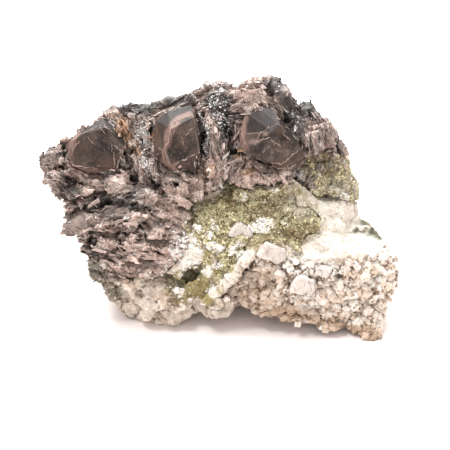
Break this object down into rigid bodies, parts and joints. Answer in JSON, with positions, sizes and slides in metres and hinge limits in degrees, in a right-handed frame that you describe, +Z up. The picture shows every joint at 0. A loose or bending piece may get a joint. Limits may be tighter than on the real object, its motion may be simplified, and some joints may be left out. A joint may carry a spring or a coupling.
{
  "type": "axinite on matrix",
  "caption": "Mineral specimen: dark brown wedge-edged axinite crystals and a crust of pinkish axinite blades over pale granular matrix with green epidote and clear calcite.",
  "frame": {"origin": "on the resting surface, under the middle of the bounding box", "axes": "+X along the specimen's length, to the right as the display face is seen; +Y from the display face to the back; +Z up"},
  "size_m": [0.1068, 0.0498, 0.0696],
  "materials": {
    "matrix": "rough granular cream rock",
    "axinite_crust": "bladed, satin, pinkish brown",
    "axinite": "glassy dark brown crystal faces",
    "epidote": "sugary yellow-green grains",
    "calcite": "clear to cloudy cleavage rhombs"
  },
  "bodies": {
    "root": {"matrix": "matrix", "axinite_crust": "axinite_crust", "epidote_centre": "epidote", "epidote_right": "epidote", "axinite_left": "axinite", "axinite_middle": "axinite", "axinite_right": "axinite", "axinite_pink": "axinite", "axinite_summit": "axinite", "axinite_shoulder": "axinite", "axinite_tip": "axinite", "axinite_lower": "axinite", "calcite_front": "calcite", "calcite_upper": "calcite", "calcite_centre": "calcite", "calcite_right": "calcite"}
  },
  "joints": []
}
